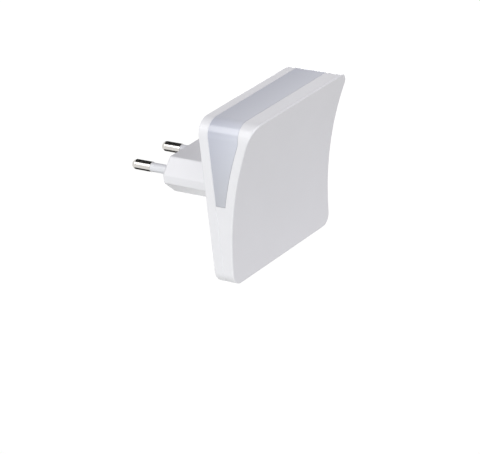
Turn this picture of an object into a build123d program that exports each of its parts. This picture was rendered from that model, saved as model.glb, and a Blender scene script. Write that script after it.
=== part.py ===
from build123d import *
import os
from math import asin, cos, degrees, radians, sin

# Plug-in night light with a two-pin mains plug.
#
# Frame: +Z up, +X to the right seen from the front, +Y from the housing towards the wall socket.
# The origin lies between the two pins, on the flat end face of the plug.
# "Depth" is counted forward, along -Y, from the housing's flat back.

# Driving dimensions, in millimetres

# Housing outline, seen from the front
HOUSING_WIDTH = 62.2
HOUSING_TOP = 33.3  # top edge above the pins
HOUSING_BOTTOM = 31.1  # bottom edge below the pins
TOP_CORNER_R = 6.2
BOTTOM_CORNER_R = 4.7

# Housing seen from the side: flat back, upright seam, concave front that flares at the top
BACK_BAND = 4.2  # depth of the seam that closes the back cover
FRONT_DEPTH_BOTTOM = 8.5
FRONT_DEPTH_TOP = 24.6
BACK_EDGE_R = 0.5
FRONT_EDGE_R = 0.5

# Diffuser: translucent band between the back cover and the front cover's rim
COVER_RIM = 3.8  # rim of the front cover ahead of the diffuser
DIFFUSER_DEPTH_TOP = 17.5  # deepest the diffuser goes, over the top
DIFFUSER_END = 0.7  # height of its two lower ends above the pins
DIFFUSER_KNEE_R = 8.0  # where its front edge turns upright

# Walls and the half-lap joint between the three shells
WALL = 2.0
BACK_PLATE = 2.0
FRONT_PLATE = 2.0
TONGUE = 0.9  # thickness of a lap tongue, the inner part of the wall
TONGUE_HEIGHT = 1.5
FIT = 0.1  # gap between parts that slip together
SEAM_BREAK = 0.2  # small chamfer on both sides of the seam
SEAM_GAP = 0.12  # open line between the diffuser and the front cover

# Plug body
PLUG_LENGTH = 30.8
PLUG_WIDTH = 34.0
PLUG_HEIGHT = 14.2
PLUG_CHAMFER = 5.5
PLUG_EDGE_R = 0.9
PLUG_WALL = 1.8
PLUG_END_WALL = 3.0
PLUG_FLANGE = 1.2  # thickness of the flange inside the back cover
PLUG_FLANGE_LIP = 2.0  # how far the flange overlaps the back cover

# Pins and their sleeves
PIN_SPACING = 18.6
PIN_R = 2.0
PIN_LENGTH = 19.8
PIN_METAL = 9.2  # bare length at the tip
PIN_CORE_R = 1.5
SLEEVE_R = 1.8
SLEEVE_SEAT = 1.5  # how far a sleeve sinks into the plug's end wall
PIN_SHOULDER_R = 2.6
PIN_SHOULDER = 1.0
PIN_TAIL_R = 1.2
PIN_TAIL = 3.0
TIGHT = 0.02  # radial gap of a pressed or self-tapped joint

# Screws that join the covers, from the back into the front cover's long bosses
BOSS_SIDE_INSET = 11.1  # boss axis from the housing's side
BOSS_TOP_INSET = 13.3  # boss axis from the housing's top
BACK_BOSS_R = 3.9
FRONT_BOSS_R = 3.0
SCREW_HEAD_R = 2.6
SCREW_HEAD = 1.7
SCREW_R = 1.3
SCREW_LENGTH = 9.5
SCREW_SINK = 2.2  # depth of the counterbore floor
SCREW_SEAT = 1.5  # plastic left under the head
SCREW_CLEARANCE = 0.3

# Hooks that hold the covers together at the bottom
HOOK_WIDTH = 6.0
HOOK_THICKNESS = 1.2
HOOK_BARB = 0.7
HOOK_X = 18.0
HOOK_TIP_GAP = 0.4  # hook tip to the back plate
HOOK_CATCH = 0.2  # wall left between the pocket and the seam
HOOK_PLAY = 0.15

# Circuit board on four posts
POST_HEIGHT = 2.0
POST_R = 2.4
BOARD = 1.2
BOARD_SIDE_GAP = 3.0  # board edge to the inner wall
BOARD_TOP_GAP = 4.5
BOARD_BOTTOM = 23.5  # board's lower edge below the pins
BOARD_CORNER_R = 4.0
POST_SIDE_INSET = 9.0  # post axis from the housing's side
POST_LOW = 14.0  # lower posts below the pins
POST_HIGH = 8.0  # upper posts above the pins
BOARD_SCREW_HEAD_R = 1.9
BOARD_SCREW_HEAD = 1.1
BOARD_SCREW_R = 0.9
BOARD_SCREW_LENGTH = 4.0

# Parts on the board
LED_SIZE = (3.5, 2.8, 0.7)  # width, height, thickness
LED_WINDOW = 0.5  # rim around the lamp's window
LED_TOP_PITCH = 8.0
LED_TOP_INSET = 10.5  # upper row below the housing's top
LED_SIDE_INSET = 7.5  # side lamps from the housing's side
LED_SIDE_HEIGHT = 13.0
CHIP_SIZE = (3.2, 1.6, 0.6)
CHIP_PITCH = 5.0
CHIP_HEIGHT = 18.0
RECTIFIER_SIZE = (4.9, 4.0, 2.4)
RECTIFIER_LEG = (1.2, 0.6, 0.3)
RECTIFIER_LEG_PITCH = 2.5
RECTIFIER_HEIGHT = -8.0
FILM_SIZE = (11.0, 5.0, 12.0)  # width, height, length into the plug
FILM_X = -5.4
FILM_Z = -2.0
FILM_EDGE_R = 0.6
CAN_R = 3.15
CAN_LENGTH = 11.0
CAN_X = 5.0
CAN_Z = -1.0
CAN_GROOVE_R = 0.4
CAN_GROOVE = 1.6  # groove from the can's foot
CHIP_CAP = 0.5  # length of each metal end cap
CHIP_CAP_PROUD = 0.05
BLEEDER_HEIGHT = 3.5
FUSIBLE_R = 1.5
FUSIBLE_LENGTH = 9.0
FUSIBLE_HEIGHT = 10.5
FUSIBLE_LEG_R = 0.3
FUSIBLE_LEG_RUN = 1.6
FUSIBLE_LIFT = 0.3  # body above the board

# Mains leads inside the plug
LEAD_R = 0.7
LEAD_STEP = 0.3  # lead's end to the pin's shoulder

# Slide switch behind the bottom edge
SWITCH_TRAVEL = 3.0
SWITCH_CASE_DEPTH = 3.8
SWITCH_CASE_HEIGHT = 4.4
SWITCH_WALL = 0.6
SWITCH_GAP = 0.25  # slider to its case and window, on each side
SWITCH_END_GAP = 0.3
KNOB_LENGTH = 3.6
KNOB_DEPTH = 1.9
KNOB_PROUD = 1.0
KNOB_EDGE_R = 0.3
KNOB_RIDGES = 3
KNOB_RIDGE_PITCH = 0.9
KNOB_RIDGE_CUT = 0.35
SLIDER_LENGTH = 4.0
SLIDER_DEPTH = 2.1
SLIDER_HEIGHT = 2.0
BRIDGE_STRIP = 0.3
BRIDGE_DEPTH = 1.6
BRIDGE_CLIP = 0.9
TERMINAL_PITCH = 3.0
TERMINAL_WIDTH = 0.8
TERMINAL_STRIP = 0.4
TERMINAL_OVERLAP = 2.5  # length soldered along the board
TERMINAL_REACH = 0.4  # length inside the case

BEYOND = 5.0  # how far cutting shapes pass the housing
ARC_SPARE = 3.0  # degrees of front arc past the housing's top and bottom

# Values worked out from the above

HEIGHT = HOUSING_TOP + HOUSING_BOTTOM
MIDDLE_Z = (HOUSING_TOP - HOUSING_BOTTOM) / 2
FLARE = FRONT_DEPTH_TOP - FRONT_DEPTH_BOTTOM
FRONT_RADIUS = (HEIGHT**2 + FLARE**2) / (2 * FLARE)  # upright where it meets the bottom edge
LAP = WALL - TONGUE - FIT  # outer skin that hides the tongue
FLOOR_Z = WALL - HOUSING_BOTTOM  # inner face of the bottom wall
BOARD_BACK = BACK_PLATE + POST_HEIGHT
BOARD_FRONT = BOARD_BACK + BOARD
BOSS_MEET = SCREW_SINK + SCREW_SEAT
BOSS_X = HOUSING_WIDTH / 2 - BOSS_SIDE_INSET
BOSS_Z = HOUSING_TOP - BOSS_TOP_INSET
POST_X = HOUSING_WIDTH / 2 - POST_SIDE_INSET
SWITCH_DEPTH = (BACK_PLATE + FRONT_DEPTH_BOTTOM - FRONT_PLATE) / 2
BRIDGE_LENGTH = SLIDER_LENGTH + 2 * BRIDGE_STRIP
SWITCH_CAVITY = BRIDGE_LENGTH + SWITCH_TRAVEL + 2 * SWITCH_END_GAP
SWITCH_CASE_LENGTH = SWITCH_CAVITY + 2 * SWITCH_WALL
SLIDER_X = -SWITCH_TRAVEL / 2  # off position
SLIDER_FOOT = FLOOR_Z + SWITCH_WALL + SWITCH_END_GAP
SIDES = (-1, 1)


# Drawing helpers


def slab(sketch, near, far):
    """Solid from a front-view sketch, between two depths."""
    return extrude(Plane.XZ.offset(PLUG_LENGTH + near) * sketch, amount=far - near)


def brick(x_size, z_size, near, far, x=0.0, z=0.0):
    """Rectangular block centred at x, z between two depths."""
    return slab(Pos(x, z) * Rectangle(x_size, z_size), near, far)


def rod(radius, near, far, x=0.0, z=0.0):
    """Round bar along the depth direction."""
    return slab(Pos(x, z) * Circle(radius), near, far)


def outline(inset=0.0):
    """Front-view outline of the housing, drawn in by inset."""
    shape = Pos(0, MIDDLE_Z) * Rectangle(HOUSING_WIDTH - 2 * inset, HEIGHT - 2 * inset)
    shape = fillet(shape.vertices().group_by(Axis.Y)[-1], TOP_CORNER_R - inset)
    return fillet(shape.vertices().group_by(Axis.Y)[0], BOTTOM_CORNER_R - inset)


def plug_outline(growth=0.0):
    """Six-sided section of the plug body, grown evenly on all sides."""
    slope_growth = growth * (2 - 2**0.5)
    shape = Rectangle(PLUG_WIDTH + 2 * growth, PLUG_HEIGHT + 2 * growth)
    return chamfer(shape.vertices(), PLUG_CHAMFER + slope_growth)


def behind_front(setback):
    """Space behind the concave front face, when that face is moved back by setback."""
    centre_y = setback - (PLUG_LENGTH + FRONT_DEPTH_BOTTOM + FRONT_RADIUS)
    sweep_angle = degrees(asin(HEIGHT / FRONT_RADIUS))
    points = [
        (centre_y + FRONT_RADIUS * cos(radians(angle)), FRONT_RADIUS * sin(radians(angle)) - HOUSING_BOTTOM)
        for angle in (-ARC_SPARE, sweep_angle / 2, sweep_angle + ARC_SPARE)
    ]
    arc = ThreePointArc(*points)
    low = arc @ 0
    high = arc @ 1
    sides = Polyline(high, (BEYOND, high.Y), (BEYOND, low.Y), low)
    face = make_face([arc, *sides.edges()])
    return extrude(Plane.YZ * face, amount=HOUSING_WIDTH, both=True)


def diffuser_space(reach, start):
    """Space of the diffuser from the side, grown by reach at its front and its lower ends."""
    foot = DIFFUSER_END - reach
    tall = HOUSING_TOP + BEYOND - foot
    wide = HOUSING_WIDTH + BEYOND
    block = brick(wide, tall, start, DIFFUSER_DEPTH_TOP + reach, z=foot + tall / 2)
    space = block & behind_front(COVER_RIM - reach)
    knee = space.edges().filter_by(Axis.X).group_by(Axis.Y)[0].sort_by(Axis.Z)[0]
    return fillet(knee, DIFFUSER_KNEE_R + reach)


# Housing shells


def housing_form():
    """Outside of the whole housing with its rounded back and front edges."""
    form = slab(outline(), 0, FRONT_DEPTH_TOP + BEYOND) & behind_front(0)
    form = fillet(form.faces().sort_by(Axis.Y)[-1].edges(), BACK_EDGE_R)
    front_face = form.faces().filter_by(GeomType.CYLINDER).sort_by(SortBy.AREA)[-1]
    return fillet(front_face.edges(), FRONT_EDGE_R)


def front_block(form):
    """Outside of everything ahead of the seam, with the seam's edge broken."""
    big = HOUSING_WIDTH + HEIGHT
    block = form & brick(big, big, BACK_BAND, FRONT_DEPTH_TOP + BEYOND)
    return chamfer(block.faces().sort_by(Axis.Y)[-1].edges(), SEAM_BREAK)


def switch_window():
    """Slot in the bottom wall that the switch knob slides in."""
    long = KNOB_LENGTH + SWITCH_TRAVEL + 2 * SWITCH_END_GAP
    half = KNOB_DEPTH / 2 + SWITCH_GAP
    tall = 2 * WALL
    return brick(long, tall, SWITCH_DEPTH - half, SWITCH_DEPTH + half, z=-HOUSING_BOTTOM)


def hook(side):
    """Hook on the front cover's bottom wall, with a ramped barb that points down."""
    top_z = FLOOR_Z + HOOK_PLAY + HOOK_THICKNESS
    tip = BACK_PLATE + HOOK_TIP_GAP
    root = BACK_BAND + TONGUE_HEIGHT + 2 * FIT
    middle = FLOOR_Z + HOOK_PLAY + HOOK_THICKNESS / 2
    arm = brick(HOOK_WIDTH, HOOK_THICKNESS, tip, FRONT_DEPTH_TOP, side * HOOK_X, middle)
    foot_z = FLOOR_Z - WALL / 4
    heel = brick(
        HOOK_WIDTH, top_z - foot_z, root, FRONT_DEPTH_TOP, side * HOOK_X, (top_z + foot_z) / 2
    )
    catch = BACK_BAND - HOOK_CATCH - FIT
    tip_y = -(PLUG_LENGTH + tip)
    catch_y = -(PLUG_LENGTH + catch)
    lower_z = FLOOR_Z + HOOK_PLAY
    ramp = Polyline(
        (tip_y, middle), (tip_y, lower_z), (catch_y, FLOOR_Z - HOOK_BARB), (catch_y, middle), close=True
    )
    barb = extrude(Plane.YZ * make_face(ramp.edges()), amount=HOOK_WIDTH / 2, both=True)
    arm = (arm + heel) & behind_front(FRONT_PLATE / 2)
    return arm + Pos(side * HOOK_X, 0, 0) * barb


def hook_pocket(side):
    """Recess in the back cover's bottom wall that a hook's barb snaps into."""
    wide = HOOK_WIDTH + 4 * FIT
    tall = HOOK_BARB + 2 * FIT
    return brick(wide, tall, BACK_PLATE, BACK_BAND - HOOK_CATCH, side * HOOK_X, FLOOR_Z - tall / 2)


def front_cover(form):
    """Concave front shell: plate, rim, side walls below the diffuser, bosses and hooks."""
    lap_end = BACK_BAND + TONGUE_HEIGHT + FIT
    cover = front_block(form)
    cover -= slab(outline(WALL), 0, FRONT_DEPTH_TOP) & behind_front(FRONT_PLATE)
    cover -= slab(outline(LAP), 0, lap_end)
    cover -= diffuser_space(SEAM_GAP, 0)
    cover -= slab(outline(LAP), 0, FRONT_DEPTH_TOP) & diffuser_space(TONGUE_HEIGHT + FIT, 0)
    cover -= switch_window()
    for side in SIDES:
        boss = rod(FRONT_BOSS_R, BOSS_MEET, FRONT_DEPTH_TOP, side * BOSS_X, BOSS_Z)
        cover += boss & behind_front(FRONT_PLATE / 2)
        cover += hook(side)
    hole_end = SCREW_SINK + SCREW_LENGTH + 2 * FIT
    for side in SIDES:
        cover -= rod(SCREW_R + TIGHT, 0, hole_end, side * BOSS_X, BOSS_Z)
    return cover


def diffuser(form):
    """Translucent band, lapped into the back cover behind and the front cover ahead."""
    ring = outline() - outline(WALL)
    tongue_ring = outline(LAP + FIT) - outline(WALL)
    lap_end = BACK_BAND + TONGUE_HEIGHT + FIT
    skin = front_block(form) & slab(ring, 0, FRONT_DEPTH_TOP) & diffuser_space(0, 0)
    skin -= slab(outline(LAP), 0, lap_end)
    tongue = slab(tongue_ring, lap_end, FRONT_DEPTH_TOP) & diffuser_space(TONGUE_HEIGHT, 0)
    return skin + tongue


def back_cover(form):
    """Flat tray with the plug opening, screw bosses, board posts and a tongue all round."""
    big = HOUSING_WIDTH + HEIGHT
    tray = form & brick(big, big, -BEYOND, BACK_BAND)
    tray = chamfer(tray.faces().sort_by(Axis.Y)[0].edges(), SEAM_BREAK)
    tray -= slab(outline(WALL), BACK_PLATE, BACK_BAND + BEYOND)
    tray += slab(outline(LAP + FIT) - outline(WALL), BACK_BAND - WALL / 2, BACK_BAND + TONGUE_HEIGHT)
    for side in SIDES:
        tray += rod(BACK_BOSS_R, BACK_PLATE / 2, BOSS_MEET, side * BOSS_X, BOSS_Z)
        for z in (-POST_LOW, POST_HIGH):
            tray += rod(POST_R, BACK_PLATE / 2, BOARD_BACK, side * POST_X, z)
    for side in SIDES:
        tray -= rod(SCREW_HEAD_R + SCREW_CLEARANCE, -BEYOND, SCREW_SINK, side * BOSS_X, BOSS_Z)
        tray -= rod(SCREW_R + SCREW_CLEARANCE, 0, BOARD_FRONT, side * BOSS_X, BOSS_Z)
        pilot = BOARD_FRONT - BOARD_SCREW_LENGTH - FIT
        tray -= rod(BOARD_SCREW_R + TIGHT, pilot, BOARD_FRONT, side * POST_X, -POST_LOW)
        tray -= hook_pocket(side)
    tray -= slab(plug_outline(FIT), -BEYOND, BACK_PLATE + FIT)
    return tray - switch_window()


# Plug


def plug_housing():
    """Hollow plug body, closed at the pin end, with a flange inside the back cover."""
    body = slab(plug_outline(), -PLUG_LENGTH, BACK_PLATE)
    body = fillet(body.edges().filter_by(Axis.Y), PLUG_EDGE_R)
    body = fillet(body.faces().sort_by(Axis.Y)[-1].edges(), PLUG_EDGE_R)
    body += slab(plug_outline(PLUG_FLANGE_LIP), BACK_PLATE, BACK_PLATE + PLUG_FLANGE)
    body -= slab(plug_outline(-PLUG_WALL), PLUG_END_WALL - PLUG_LENGTH, BOARD_BACK)
    for side in SIDES:
        x = side * PIN_SPACING / 2
        body -= rod(PIN_CORE_R + TIGHT, -PLUG_LENGTH, PLUG_END_WALL - PLUG_LENGTH, x)
        body -= rod(SLEEVE_R + TIGHT, -PLUG_LENGTH, SLEEVE_SEAT - PLUG_LENGTH, x)
    return body


def pin(side):
    """Turned pin: domed bare tip, slimmer core under the sleeve, shoulder and solder tail."""
    shoulder_y = -PLUG_END_WALL
    tail_y = shoulder_y - PIN_SHOULDER
    bare_y = PIN_LENGTH - PIN_METAL
    straight = Polyline(
        (0, tail_y - PIN_TAIL),
        (PIN_TAIL_R, tail_y - PIN_TAIL),
        (PIN_TAIL_R, tail_y),
        (PIN_SHOULDER_R, tail_y),
        (PIN_SHOULDER_R, shoulder_y),
        (PIN_CORE_R, shoulder_y),
        (PIN_CORE_R, bare_y),
        (PIN_R, bare_y),
        (PIN_R, PIN_LENGTH - PIN_R),
    )
    dome = CenterArc((0, PIN_LENGTH - PIN_R), PIN_R, 0, 90)
    axis = Line((0, PIN_LENGTH), (0, tail_y - PIN_TAIL))
    half_section = make_face([*straight.edges(), dome, axis])
    return Pos(side * PIN_SPACING / 2, 0, 0) * revolve(half_section, Axis.Y)


def pin_sleeve(side):
    """Insulating tube on the pin's core, sunk a little into the plug's end wall."""
    wall = Circle(SLEEVE_R) - Circle(PIN_CORE_R + TIGHT)
    sleeve = slab(wall, SLEEVE_SEAT - PLUG_LENGTH, PIN_METAL - PIN_LENGTH - PLUG_LENGTH)
    return Pos(side * PIN_SPACING / 2, 0, 0) * sleeve


def lead(side):
    """Insulated wire that runs straight from the top of a pin's tail to the board."""
    start = PLUG_LENGTH - (PLUG_END_WALL + PIN_SHOULDER + LEAD_STEP)
    return rod(LEAD_R, -start, BOARD_BACK, side * PIN_SPACING / 2, PIN_TAIL_R + LEAD_R)


# Circuit board and what is soldered to it


def circuit_board():
    """Board on the four posts, with clear holes for the front cover's bosses."""
    wide = HOUSING_WIDTH - 2 * (WALL + BOARD_SIDE_GAP)
    top = HOUSING_TOP - WALL - BOARD_TOP_GAP
    sheet = Pos(0, (top - BOARD_BOTTOM) / 2) * Rectangle(wide, top + BOARD_BOTTOM)
    sheet = fillet(sheet.vertices(), BOARD_CORNER_R)
    for side in SIDES:
        sheet -= Pos(side * BOSS_X, BOSS_Z) * Circle(FRONT_BOSS_R + SCREW_CLEARANCE)
        sheet -= Pos(side * POST_X, -POST_LOW) * Circle(BOARD_SCREW_R + FIT)
    return slab(sheet, BOARD_BACK, BOARD_FRONT)


def leds():
    """Row of lamps under the top band and one lamp behind each side band."""
    width, height, thickness = LED_SIZE
    top_z = HOUSING_TOP - LED_TOP_INSET
    side_x = HOUSING_WIDTH / 2 - LED_SIDE_INSET
    places = [(LED_TOP_PITCH * (i - 1.5), top_z) for i in range(4)]
    places += [(side * side_x, LED_SIDE_HEIGHT) for side in SIDES]
    face = BOARD_FRONT + thickness
    lamps = Part()
    for x, z in places:
        lamps += brick(width, height, BOARD_FRONT, face, x, z)
        rim = 2 * LED_WINDOW
        lamps -= brick(width - rim, height - rim, face - thickness / 4, face, x, z)
    return lamps


def chip(x, z):
    """Chip resistor flat on the board's front, with a metal cap round each end."""
    width, height, thickness = CHIP_SIZE
    top = BOARD_FRONT + thickness
    body = brick(width, height, BOARD_FRONT, top, x, z)
    for side in SIDES:
        cap_x = x + side * (width - CHIP_CAP) / 2
        cap_height = height + 2 * CHIP_CAP_PROUD
        body += brick(CHIP_CAP, cap_height, BOARD_FRONT, top + CHIP_CAP_PROUD, cap_x, z)
    return body


def chip_resistors():
    """Four chip resistors in a row, one for each string of lamps."""
    chips = Part()
    for i in range(4):
        chips += chip(CHIP_PITCH * (i - 1.5), CHIP_HEIGHT)
    return chips


def bridge_rectifier():
    """Small moulded bridge with two legs on each side."""
    width, height, thickness = RECTIFIER_SIZE
    leg_long, leg_wide, leg_thick = RECTIFIER_LEG
    body = brick(width, height, BOARD_FRONT + FIT, BOARD_FRONT + thickness, z=RECTIFIER_HEIGHT)
    body = chamfer(body.faces().sort_by(Axis.Y)[0].edges(), leg_thick)
    for side in SIDES:
        for step in SIDES:
            x = side * (width + leg_long) / 2
            z = RECTIFIER_HEIGHT + step * RECTIFIER_LEG_PITCH / 2
            foot = brick(leg_long, leg_wide, BOARD_FRONT, BOARD_FRONT + leg_thick, x, z)
            shin_x = side * (width + leg_thick) / 2
            knee = BOARD_FRONT + thickness / 2
            foot += brick(leg_thick, leg_wide, BOARD_FRONT, knee, shin_x, z)
            body += foot
    return body


def film_capacitor():
    """Box-shaped capacitor standing on the board's back and reaching into the plug."""
    width, height, length = FILM_SIZE
    body = brick(width, height, BOARD_BACK - length, BOARD_BACK, FILM_X, FILM_Z)
    return fillet(body.edges().filter_by(Axis.Y), FILM_EDGE_R)


def smoothing_capacitor():
    """Round can with a rolled groove near its foot."""
    waist = CAN_R - CAN_GROOVE_R
    half_section = Polyline(
        (0, 0),
        (CAN_R, 0),
        (CAN_R, CAN_GROOVE - CAN_GROOVE_R),
        (waist, CAN_GROOVE),
        (CAN_R, CAN_GROOVE + CAN_GROOVE_R),
        (CAN_R, CAN_LENGTH),
        (0, CAN_LENGTH),
        close=True,
    )
    can = revolve(make_face(half_section.edges()), Axis.Y)
    return Pos(CAN_X, -(PLUG_LENGTH + BOARD_BACK), CAN_Z) * can


def fusible_resistor():
    """Barrel resistor lying along X above the board, on two bent legs."""
    axis_y = -(PLUG_LENGTH + BOARD_FRONT + FUSIBLE_LIFT + FUSIBLE_R)
    half = FUSIBLE_LENGTH / 2
    barrel = Cylinder(FUSIBLE_R, FUSIBLE_LENGTH, rotation=(0, 90, 0))
    resistor = Pos(0, axis_y, FUSIBLE_HEIGHT) * barrel
    for side in SIDES:
        outer_x = side * (half + FUSIBLE_LEG_RUN)
        start = (side * half, axis_y, FUSIBLE_HEIGHT)
        corner = (outer_x, axis_y, FUSIBLE_HEIGHT)
        end = (outer_x, -(PLUG_LENGTH + BOARD_FRONT), FUSIBLE_HEIGHT)
        section = Plane(origin=start, z_dir=(side, 0, 0)) * Circle(FUSIBLE_LEG_R)
        resistor += sweep(section, path=Polyline(start, corner, end), transition=Transition.RIGHT)
    return resistor


# Slide switch


def switch_case():
    """Hollow case that the slider runs in, open below for the knob."""
    half = SWITCH_CASE_DEPTH / 2
    near = SWITCH_DEPTH - half
    far = SWITCH_DEPTH + half
    middle = FLOOR_Z + SWITCH_CASE_HEIGHT / 2
    case = brick(SWITCH_CASE_LENGTH, SWITCH_CASE_HEIGHT, near, far, z=middle)
    inside = SWITCH_CASE_HEIGHT - 2 * SWITCH_WALL
    case -= brick(SWITCH_CAVITY, inside, near + SWITCH_WALL, far - SWITCH_WALL, z=middle)
    slot_half = KNOB_DEPTH / 2 + SWITCH_GAP
    slot_long = KNOB_LENGTH + SWITCH_TRAVEL + 2 * SWITCH_END_GAP
    slot_near = SWITCH_DEPTH - slot_half
    case -= brick(slot_long, 2 * SWITCH_WALL, slot_near, SWITCH_DEPTH + slot_half, z=FLOOR_Z)
    return case - switch_terminals()


def switch_knob():
    """Ridged knob under the housing, on a stem with a wider slider inside the case."""
    foot = -(HOUSING_BOTTOM + KNOB_PROUD)
    tall = SLIDER_FOOT - foot
    near = SWITCH_DEPTH - KNOB_DEPTH / 2
    far = SWITCH_DEPTH + KNOB_DEPTH / 2
    stem = brick(KNOB_LENGTH, tall, near, far, SLIDER_X, foot + tall / 2)
    stem = chamfer(stem.faces().sort_by(Axis.Z)[0].edges(), KNOB_EDGE_R)
    for i in range(KNOB_RIDGES):
        x = SLIDER_X + KNOB_RIDGE_PITCH * (i - (KNOB_RIDGES - 1) / 2)
        stem -= brick(KNOB_RIDGE_CUT, 2 * KNOB_RIDGE_CUT, near - FIT, far + FIT, x, foot)
    half = SLIDER_DEPTH / 2
    middle = SLIDER_FOOT + SLIDER_HEIGHT / 2
    slider = brick(
        SLIDER_LENGTH, SLIDER_HEIGHT, SWITCH_DEPTH - half, SWITCH_DEPTH + half, SLIDER_X, middle
    )
    return stem + slider


def contact_bridge():
    """Springy metal strip clipped over the slider, which joins two terminals."""
    near = SWITCH_DEPTH - BRIDGE_DEPTH / 2
    far = SWITCH_DEPTH + BRIDGE_DEPTH / 2
    top = SLIDER_FOOT + SLIDER_HEIGHT
    strip = brick(BRIDGE_LENGTH, BRIDGE_STRIP, near, far, SLIDER_X, top + BRIDGE_STRIP / 2)
    for side in SIDES:
        x = SLIDER_X + side * (SLIDER_LENGTH + BRIDGE_STRIP) / 2
        strip += brick(BRIDGE_STRIP, BRIDGE_CLIP, near, far, x, top - BRIDGE_CLIP / 2)
    return strip


def switch_terminals():
    """Three flat terminals through the case's roof, soldered along the board's back."""
    roof = FLOOR_Z + SWITCH_CASE_HEIGHT
    foot = roof - SWITCH_WALL - TERMINAL_REACH
    tall = TERMINAL_OVERLAP - BOARD_BOTTOM - foot
    blades = Part()
    for i in SIDES + (0,):
        x = i * TERMINAL_PITCH
        blades += brick(
            TERMINAL_WIDTH, tall, BOARD_BACK - TERMINAL_STRIP, BOARD_BACK, x, foot + tall / 2
        )
    return blades


# Screws


def pan_screw(x, z, seat, aim, head_r, head, shank_r, length):
    """Pan-head screw with a cross recess; aim is +1 to point forward and -1 to point back."""
    cap = rod(head_r, seat - aim * head, seat, x, z)
    outer_end = -1 if aim > 0 else 0
    cap = chamfer(cap.edges().filter_by(GeomType.CIRCLE).sort_by(Axis.Y)[outer_end], head / 3)
    for wide, tall in ((head_r, head_r / 4), (head_r / 4, head_r)):
        cap -= brick(wide, tall, seat - aim * head, seat - aim * head / 2, x, z)
    return cap + rod(shank_r, seat, seat + aim * length, x, z)


def housing_screws():
    """Two screws from the back into the front cover's bosses."""
    screws = Part()
    for side in SIDES:
        screws += pan_screw(
            side * BOSS_X, BOSS_Z, SCREW_SINK, 1, SCREW_HEAD_R, SCREW_HEAD, SCREW_R, SCREW_LENGTH
        )
    return screws


def board_screws():
    """Two screws through the board into the lower posts."""
    screws = Part()
    for side in SIDES:
        screws += pan_screw(
            side * POST_X,
            -POST_LOW,
            BOARD_FRONT,
            -1,
            BOARD_SCREW_HEAD_R,
            BOARD_SCREW_HEAD,
            BOARD_SCREW_R,
            BOARD_SCREW_LENGTH,
        )
    return screws


def build():
    """Every piece by its node name."""
    form = housing_form()
    return {
        "front_cover": front_cover(form),
        "back_cover": back_cover(form),
        "diffuser": diffuser(form),
        "plug_housing": plug_housing(),
        "live_pin": pin(-1),
        "neutral_pin": pin(1),
        "live_pin_sleeve": pin_sleeve(-1),
        "neutral_pin_sleeve": pin_sleeve(1),
        "live_lead": lead(-1),
        "neutral_lead": lead(1),
        "circuit_board": circuit_board(),
        "leds": leds(),
        "chip_resistors": chip_resistors(),
        "bridge_rectifier": bridge_rectifier(),
        "film_capacitor": film_capacitor(),
        "smoothing_capacitor": smoothing_capacitor(),
        "fusible_resistor": fusible_resistor(),
        "bleeder_resistor": chip(0, BLEEDER_HEIGHT),
        "switch_case": switch_case(),
        "switch_knob": switch_knob(),
        "contact_bridge": contact_bridge(),
        "switch_terminals": switch_terminals(),
        "housing_screws": housing_screws(),
        "board_screws": board_screws(),
    }


os.makedirs("parts", exist_ok=True)
for node, shape in build().items():
    export_step(shape, f"parts/{node}.step")
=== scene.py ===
from math import atan2, cos, pi, radians, sin

import bmesh
import bpy
from bpy.props import FloatProperty, FloatVectorProperty, PointerProperty
from bpy.types import NodeSocket, Operator, Panel, PropertyGroup
from mathutils import Matrix, Vector


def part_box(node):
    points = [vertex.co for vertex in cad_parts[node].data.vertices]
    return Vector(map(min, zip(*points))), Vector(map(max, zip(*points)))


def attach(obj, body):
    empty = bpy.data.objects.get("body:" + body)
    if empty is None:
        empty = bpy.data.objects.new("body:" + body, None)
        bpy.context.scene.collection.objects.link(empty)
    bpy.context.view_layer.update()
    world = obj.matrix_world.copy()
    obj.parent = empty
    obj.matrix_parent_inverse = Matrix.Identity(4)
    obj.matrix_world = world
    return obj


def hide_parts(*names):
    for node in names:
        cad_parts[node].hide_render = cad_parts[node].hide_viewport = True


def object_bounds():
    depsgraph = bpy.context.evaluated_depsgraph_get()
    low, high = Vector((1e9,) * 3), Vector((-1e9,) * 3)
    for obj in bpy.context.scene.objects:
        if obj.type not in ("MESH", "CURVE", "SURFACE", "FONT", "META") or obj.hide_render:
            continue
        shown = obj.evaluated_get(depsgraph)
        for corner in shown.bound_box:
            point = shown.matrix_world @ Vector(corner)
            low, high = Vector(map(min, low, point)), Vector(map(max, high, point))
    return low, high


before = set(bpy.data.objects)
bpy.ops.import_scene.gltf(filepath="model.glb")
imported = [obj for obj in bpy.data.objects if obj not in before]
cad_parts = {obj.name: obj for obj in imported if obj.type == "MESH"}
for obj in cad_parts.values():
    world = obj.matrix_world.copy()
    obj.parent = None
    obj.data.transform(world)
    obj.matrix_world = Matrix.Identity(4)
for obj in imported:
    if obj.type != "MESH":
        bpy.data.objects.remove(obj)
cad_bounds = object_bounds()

bl_info = {
    "name": "Plug-in night light",
    "version": (1, 0, 0),
    "blender": (4, 5, 0),
    "location": "3D View > Sidebar > Night light",
    "description": "Finishes and small parts of a plug-in night light",
    "category": "Object",
}

MM = 0.001
MERGE = 0.001 * MM
SMOOTH_UP_TO = radians(40)
SIDES = (-1, 1)

# Screws, as shares of their own radii and heights, with a thread's steps in a turn and the turns left
# off at its ends
THREAD_CORE = 0.8
THREAD_FOOT = 0.93
THREAD_PITCH = 0.8
THREAD_BASE = 0.62
THREAD_CREST = 0.25
THREAD_STEPS = 20
TURNS_LEFT_OFF = 2
SCREW_TIP = 0.5
PAN_RIM = 0.4
PAN_CROWN = 0.5
CROSS_REACH = 0.62
CROSS_WIDTH = 0.26
CROSS_DEPTH = 0.6
CROSS_TAPER = 0.72
PUNCH_ABOVE = 0.1

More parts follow.
